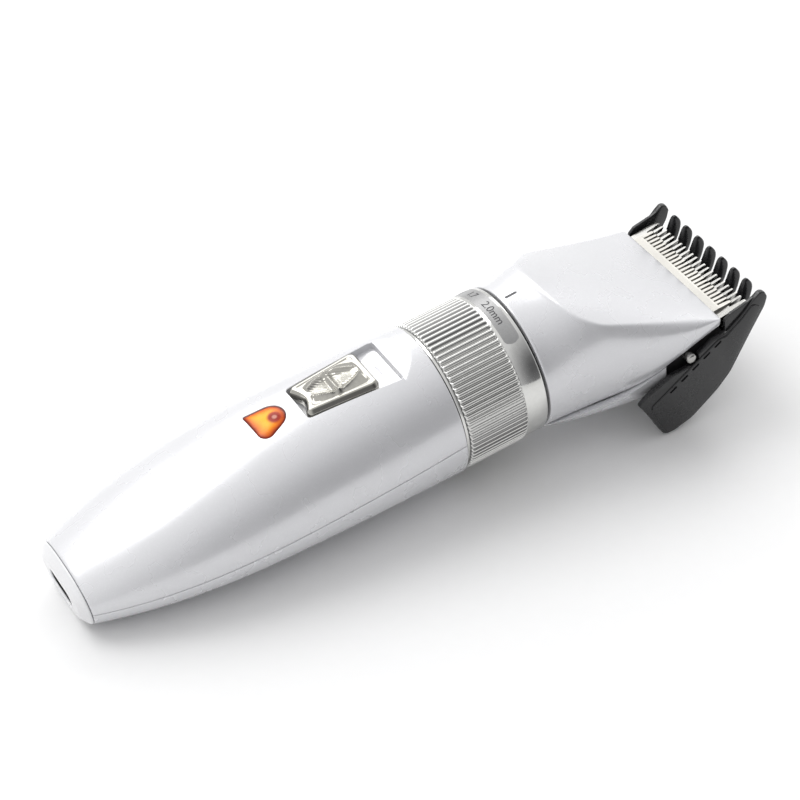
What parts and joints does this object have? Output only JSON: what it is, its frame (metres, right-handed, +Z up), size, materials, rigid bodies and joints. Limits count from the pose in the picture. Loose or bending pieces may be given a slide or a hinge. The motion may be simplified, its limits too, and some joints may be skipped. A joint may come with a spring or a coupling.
{
  "type": "electric pet clipper",
  "caption": "Cordless pet grooming clipper with a slide switch, a turning taper ring, a toothed blade set and a clip-on guide comb, resting on its tail and comb.",
  "frame": {"origin": "centre of the length and width of the resting clipper, on the surface it rests on", "axes": "+X from tail to blades, +Y to the left of the clipper seen from the tail, +Z up; the clipper's own axis rises 8.12 degrees towards the head"},
  "size_m": [0.1868, 0.045, 0.0455],
  "materials": {
    "shell_paint": "satin pearl silver paint on plastic",
    "end_cap": "light silver-white, satin",
    "chrome_plate": "bright plated",
    "blade_steel": "ground steel",
    "bright_steel": "bright",
    "comb_black": "semi-gloss black",
    "black_plastic": "matt black",
    "white_plastic": "natural acetal",
    "cell_sleeve": "shrink sleeve",
    "board_green": "solder mask",
    "led_red": "clear red epoxy",
    "amber_lens": "clear amber",
    "ferrite": "sintered",
    "rotor_copper": "enamelled copper and laminations",
    "lead_insulation": "pvc"
  },
  "bodies": {
    "handle": {"top_shell": "shell_paint", "bottom_shell": "shell_paint", "tail_cap": "end_cap", "charge_inlet": "black_plastic", "charge_pins": "bright_steel", "shell_screw": "bright_steel", "battery_cells": "cell_sleeve", "cell_terminals": "bright_steel", "cell_spacer": "white_plastic", "circuit_board": "board_green", "board_parts": "black_plastic", "led": "led_red", "led_lens": "amber_lens", "switch_housing": "black_plastic", "neck": "black_plastic", "detent_spring": "bright_steel", "motor_sleeve": "black_plastic", "motor_can": "bright_steel", "motor_end_cap": "white_plastic", "motor_magnets": "ferrite", "lead_wires": "lead_insulation", "head_housing": "shell_paint", "head_bottom_cover": "shell_paint", "blade_base": "black_plastic", "comb_pegs": "chrome_plate", "fixed_blade": "blade_steel", "blade_screws": "bright_steel"},
    "switch": {"switch_knob": "chrome_plate", "switch_slider": "black_plastic"},
    "ring": {"taper_ring": "chrome_plate"},
    "rotor": {"motor_rotor": "rotor_copper", "motor_shaft": "bright_steel", "eccentric_cam": "white_plastic"},
    "carriage": {"blade_carriage": "black_plastic", "cam_follower": "bright_steel", "pressure_spring": "bright_steel"},
    "cutter": {"moving_blade": "blade_steel", "drive_yoke": "white_plastic", "yoke_rivets": "bright_steel"},
    "comb": {"guide_comb": "comb_black"}
  },
  "joints": [
    {"name": "switch_slide", "type": "slide", "parent": "handle", "child": "switch", "axis": [0.99, 0, 0.1412], "range_m": [0, 0.005]},
    {"name": "ring_turn", "type": "hinge", "parent": "handle", "child": "ring", "pos_m": [0.01881, 0, 0.023], "axis": [0.99, 0, 0.1412], "range_deg": [0, 90]},
    {"name": "blade_set", "type": "slide", "parent": "handle", "child": "carriage", "axis": [0.9698, 0, 0.2439], "range_m": [0, 0.0012]},
    {"name": "blade_stroke", "type": "slide", "parent": "carriage", "child": "cutter", "axis": [0, 1, 0], "range_m": [-0.001, 0.001]},
    {"name": "motor_spin", "type": "hinge", "parent": "handle", "child": "rotor", "pos_m": [0.00713, 0, 0.02133], "axis": [0.99, 0, 0.1412], "continuous": true},
    {"name": "comb_slide", "type": "slide", "parent": "handle", "child": "comb", "axis": [0.99, 0, 0.1412], "range_m": [0, 0.018]}
  ],
  "couplings": [
    {"joint": "blade_set", "follows": "ring_turn", "m_per_rad": 0.00076394}
  ]
}
